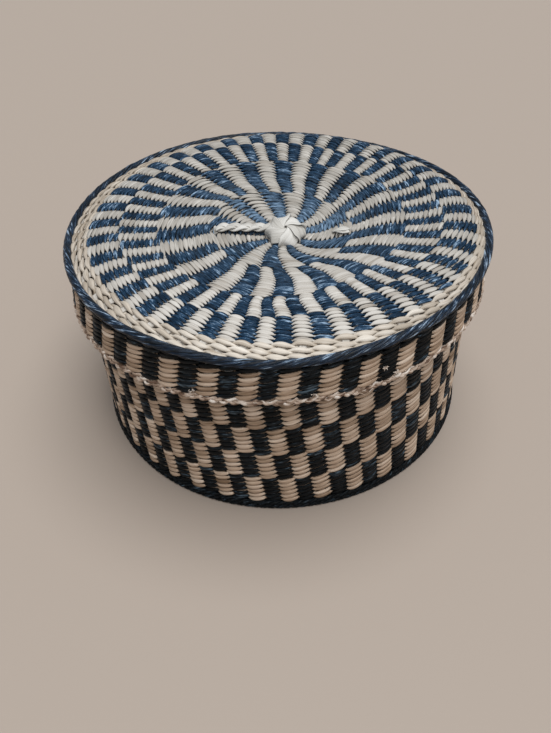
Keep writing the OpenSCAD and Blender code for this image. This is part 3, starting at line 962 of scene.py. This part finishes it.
# Its width along the way, its half thickness and its points
LEAF_PLACES = [0, 0.12, 0.42, 0.62, 1]
LEAF_WIDTHS = [0.3, 0.6, 1, 0.95, 0.5]
LEAF_T = 0.24
LEAF_SAMPLES = 40
# Leaves on top, and smaller ones in the gaps under them, darkened as painted shade: their number and half
# width, and then the first one's angle, their size, their twist, and their tilt in radians. TURN_UNEVEN is in
# radians too
LEAVES = 6
LEAF_W = 3.0
TOP_AT, TOP_SIZE, TOP_TWIST, TOP_TILT = 35, 1, 2.4, 0.29
UNDER_AT, UNDER_SIZE, UNDER_TWIST, UNDER_TILT = 60, 0.88, 0.3, 0.0
# Painted shade: the under leaves are darkened as if they lay in shadow
UNDER_SHADE_TONE = -2.5
TURN_UNEVEN = 0.07
LEAF_UNEVEN = 0.15


def fold(turn, size, aside, half_w, tilt, tone):
    """One leaf of the knot: up the side from a point, over the edge, and in under the next leaf."""
    way = np.stack([size * KNOT_R * LEAF_OUT, aside * LEAF_ASIDE, size * KNOT_H * LEAF_UP], -1)
    local = path_through(way, LEAF_SAMPLES)
    step = np.gradient(local, axis=0)
    facing = unit(np.stack([step[:, 2], np.zeros(LEAF_SAMPLES), -step[:, 0]], -1))
    facing = facing * math.cos(tilt) + np.array([0, 1.0, 0]) * math.sin(tilt)
    width = half_w * np.interp(np.linspace(0, 1, LEAF_SAMPLES), LEAF_PLACES, LEAF_WIDTHS)
    c, s = math.cos(turn), math.sin(turn)
    spin = np.array([[c, s, 0], [-s, c, 0], [0, 0, 1.0]])
    c, s = math.cos(KNOT_LEAN), math.sin(KNOT_LEAN)
    spin = spin @ np.array([[1, 0, 0], [0, c, s], [0, -s, c]])
    return strand(local @ spin + KNOT_AT, facing @ spin, width, LEAF_T, False, tone=tone, section=FLAT)


made = []
for k in range(LEAVES):
    turn = math.radians(360 / LEAVES * k + TOP_AT) + rng.normal(0, TURN_UNEVEN)
    half_w = LEAF_W + rng.normal(0, LEAF_UNEVEN)
    made.append(fold(turn, TOP_SIZE, TOP_TWIST, half_w, TOP_TILT, rng.normal(0, 1)))
for k in range(LEAVES):
    turn = math.radians(360 / LEAVES * k + UNDER_AT)
    made.append(fold(turn, UNDER_SIZE, UNDER_TWIST, LEAF_W, UNDER_TILT, UNDER_SHADE_TONE))
piece("knot_strips", made, cream, "handle", "cream_straw", "handle_knot")

# Routes of the cord's two ends: distance from the axis and height
BRAID_ROUTE = [(2.0, 70.0), (6.0, 70.1), (11.0, 70.4), (15.5, 70.8), (19.0, 71.0), (21.3, 70.5), (22.0, 69.0),
               (22.0, 66.0), (22.0, 62.6)]
TAIL_ROUTE = [(22.0, 63.6), (22.0, 66.0), (22.0, 68.2), (22.2, 69.6), (22.6, 70.4)]
BRAID_CORD = dict(turn=13.0, across=1.0, deep=0.5, half_w=1.2, half_t=0.36, samples=120)
TAIL_CORD = dict(turn=11.0, across=0.8, deep=0.4, half_w=1.0, half_t=0.32, end=0.5)
# The stop knots: radius, place against the solid, and the turns of cord that they are wound from, with tilts
# in radians
STOP_R = 2.3
STOP_DOWN = 0.2
STOP_TILTS = (0.0, 1.05, 2.1)
STOP_SAMPLES = 28
STOP_CORD_R = 0.9
STOP_W = 1.0
STOP_T = 0.8
STOP_TONE = 0.6


def towards(hole):
    """Level directions from the axis to a hole, and across that."""
    a = math.radians(hole)
    way = np.array([math.cos(a), math.sin(a), 0])
    return way, np.array([-way[1], way[0], 0])


def over_lid(route, way):
    """Points of a cord's route, slanting with the lid."""
    return [way * r + np.array([0, 0, z + TILT * way[0] * r]) for r, z in route]


def wound_knot(way, z):
    """A small stop knot under a hole: turns of cord wound on each other."""
    a = 2 * np.pi * np.arange(STOP_SAMPLES) / STOP_SAMPLES
    middle = way * HOLE_R + np.array([0, 0, z])
    found = []
    for k, tilt in enumerate(STOP_TILTS):
        x, y, up = np.cos(a), np.sin(a) * math.cos(tilt), np.sin(a) * math.sin(tilt)
        turned = np.stack([x * math.cos(k) - y * math.sin(k), x * math.sin(k) + y * math.cos(k), up], -1)
        p = turned * (STOP_R - STOP_CORD_R) + middle
        found.append(strand(p, turned, STOP_W, STOP_T, True, tone=rng.normal(0, STOP_TONE)))
    return found


way, side = towards(HOLES[0])
made = braid(over_lid(BRAID_ROUTE, way), side_way=side, **BRAID_CORD)
piece("cord_braid", made, cream, "handle", "cream_straw", "handle_braid")
lo, hi = span("handle_stop")
made = wound_knot(way, (lo + hi) / 2 - STOP_DOWN)
piece("cord_stop", made, cream, "handle", "cream_straw", "handle_stop")

# The loose end's two leaves: turn in radians, lift and half width, and then how both lie over the hole
TAIL_LEAVES = [(-0.05, 0.0, 1.5), (0.3, 0.5, 1.1)]
TAIL_R = 22.6
TAIL_Z = 69.9
TAIL_BACK = 2.6
TAIL_LENGTH = 6.2
TAIL_RISE = 0.9
TAIL_ARCH = 0.6
TAIL_TILT = [0.5, -0.4]
TAIL_TIP = 0.12
TAIL_POINT = 0.7
TAIL_T = 0.22
TAIL_SAMPLES = 16
# Loose fibres at its tip
TAIL_HAIRS = 3
TAIL_HAIR_WAY = 0.4
TAIL_HAIR_LENGTH = [0.8, 1.6]
TAIL_HAIR_R = 0.12
TAIL_HAIR_CURL = 0.3

way, side = towards(HOLES[1])
made = braid(over_lid(TAIL_ROUTE, way), side_way=side, **TAIL_CORD)
made += wound_knot(way, span("handle_tail")[0] + STOP_R)
t = np.linspace(0, 1, TAIL_SAMPLES)
arch = np.sin(np.pi * t)
for turn, lift, half_w in TAIL_LEAVES:
    lie = way * math.cos(turn) + side * math.sin(turn)
    p = way * TAIL_R + lie * (TAIL_LENGTH * t - TAIL_BACK)[:, None]
    p[:, 2] = TAIL_Z + lift + TAIL_RISE * t + TAIL_ARCH * arch + TILT * p[:, 0]
    tilted = unit(np.array([0, 0, 1.0]) + side * (TAIL_TILT[0] + (TAIL_TILT[1] - TAIL_TILT[0]) * t)[:, None])
    width = TAIL_TIP + half_w * np.maximum(arch, 0) ** TAIL_POINT
    tone = rng.normal(0, PLAIT_TONE)
    made.append(strand(p, tilted, width, TAIL_T, False, PLAIT_SIDES, tone, box=PLAIT_BOX))
for k in range(TAIL_HAIRS):
    hair_way = unit(way + rng.normal(0, TAIL_HAIR_WAY, 3))
    made.append(hair(p[-2], hair_way, rng.uniform(*TAIL_HAIR_LENGTH), TAIL_HAIR_R, TAIL_HAIR_CURL))
piece("cord_tail", made, cream, "lid", "cream_straw", "handle_tail")


# Floor, light and camera

# Half the floor's side in metres, and its roughness
FLOOR_HALF = 4
FLOOR_ROUGH = 0.7
floor = bpy.data.meshes.new("floor")
floor_corners = [(x * FLOOR_HALF, y * FLOOR_HALF, 0) for x, y in ((-1, -1), (1, -1), (1, 1), (-1, 1))]
floor.from_pydata(floor_corners, [], [(0, 1, 2, 3)])
floor_object = bpy.data.objects.new("floor", floor)
bpy.context.scene.collection.objects.link(floor_object)
floor_material = bpy.data.materials.new("floor")
floor_material.use_nodes = True
floor_shader = floor_material.node_tree.nodes["Principled BSDF"]
floor_shader.inputs["Base Color"].default_value = linear(162, 149, 138)
floor_shader.inputs["Roughness"].default_value = FLOOR_ROUGH
floor.materials.append(floor_material)

SKY_COLOUR = (0.93, 0.96, 1.0, 1)
SKY_STRENGTH = 0.33
world = bpy.data.worlds.new("studio")
world.use_nodes = True
world_nodes, world_link = world.node_tree.nodes, world.node_tree.links.new
light = world_nodes["Background"]
light.inputs["Color"].default_value = SKY_COLOUR
light.inputs["Strength"].default_value = SKY_STRENGTH
backdrop = world_nodes.new("ShaderNodeBackground")
backdrop.inputs["Color"].default_value = linear(206, 200, 192)
seen = world_nodes.new("ShaderNodeLightPath")
either = world_nodes.new("ShaderNodeMixShader")
world_link(seen.outputs["Is Camera Ray"], either.inputs[0])
world_link(light.outputs[0], either.inputs[1])
world_link(backdrop.outputs[0], either.inputs[2])
world_link(either.outputs[0], world_nodes["World Output"].inputs["Surface"])
bpy.context.scene.world = world


def lamp(name, place, spread, strength, colour):
    """A soft even light from the direction of a place in metres."""
    data = bpy.data.lights.new(name, "SUN")
    data.angle, data.energy, data.color = math.radians(spread), strength, colour
    o = bpy.data.objects.new(name, data)
    o.location = place
    o.rotation_euler = (-Vector(place)).to_track_quat("-Z", "Y").to_euler()
    bpy.context.scene.collection.objects.link(o)


lamp("window", (0.15, 0.12, 1.2), spread=42, strength=2.3, colour=(0.97, 0.99, 1.0))
lamp("front", (0.12, -0.5, 0.75), spread=40, strength=1.05, colour=(1.0, 0.98, 0.95))

# The photo's size and focal length in pixels, the camera's place in radii of the lid's edge, the width of its
# sensor, and the nearest that it sees in metres
PHOTO_W, PHOTO_H = 551, 733
FOCAL_PX = 700
PITCH = 43.0
CAMERA_AT = (-0.006, -2.953, 2.773)
SENSOR = 36
NEAREST = 0.01
camera_data = bpy.data.cameras.new("camera")
camera_data.sensor_width = SENSOR
camera_data.lens = FOCAL_PX / max(PHOTO_W, PHOTO_H) * SENSOR
camera_data.clip_start = NEAREST
camera = bpy.data.objects.new("camera", camera_data)
camera.location = [v * EDGE_R * MM for v in CAMERA_AT]
camera.rotation_euler = (math.radians(90 - PITCH), 0, 0)
bpy.context.scene.collection.objects.link(camera)
bpy.context.scene.camera = camera
bpy.context.scene.view_settings.view_transform = "Standard"

bpy.context.view_layer.update()
